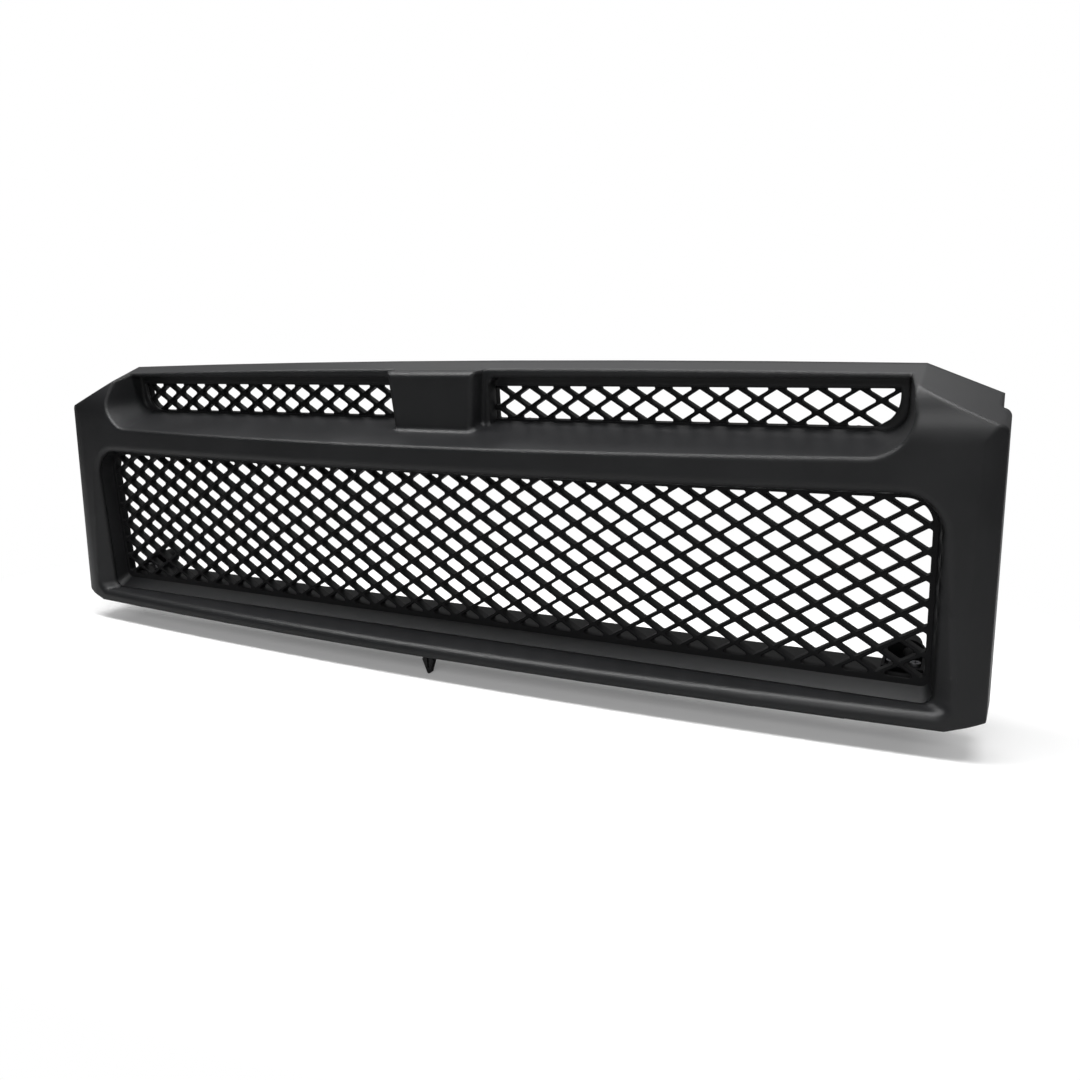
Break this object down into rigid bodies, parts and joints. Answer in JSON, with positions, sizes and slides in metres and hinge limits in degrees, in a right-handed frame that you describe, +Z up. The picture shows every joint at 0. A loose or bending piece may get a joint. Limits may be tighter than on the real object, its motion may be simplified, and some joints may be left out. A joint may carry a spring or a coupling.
{
  "type": "front grille",
  "caption": "Black moulded vehicle front grille: wide lower opening with a lined diamond mesh, two slim upper mesh slots and a bare badge plinth.",
  "frame": {"origin": "under the middle of the grille, at the height of the locating clip's tip and at mid depth", "axes": "+X along the width, to the right as seen from the front; the front faces -Y; +Z up as on the car"},
  "size_m": [0.825, 0.0826, 0.2472],
  "materials": {
    "shell_plastic": "satin black moulded plastic with a fine grain",
    "liner_plastic": "matte black moulded plastic",
    "mesh_plastic": "matte black moulded plastic",
    "bracket_plastic": "glass-filled black plastic, matte",
    "clip_plastic": "natural black nylon",
    "screw_steel": "zinc-plated steel",
    "nut_steel": "phosphated spring steel"
  },
  "bodies": {
    "root": {"fascia": "shell_plastic", "lower_surround": "liner_plastic", "lower_mesh": "mesh_plastic", "upper_mesh_left": "mesh_plastic", "upper_mesh_right": "mesh_plastic", "lower_bracket_left": "bracket_plastic", "lower_bracket_right": "bracket_plastic", "locating_clip": "clip_plastic", "surround_screws": "screw_steel", "mesh_screws": "screw_steel", "bracket_screws": "screw_steel", "push_nuts_left": "nut_steel", "push_nuts_right": "nut_steel", "spring_nuts": "nut_steel"}
  },
  "joints": []
}
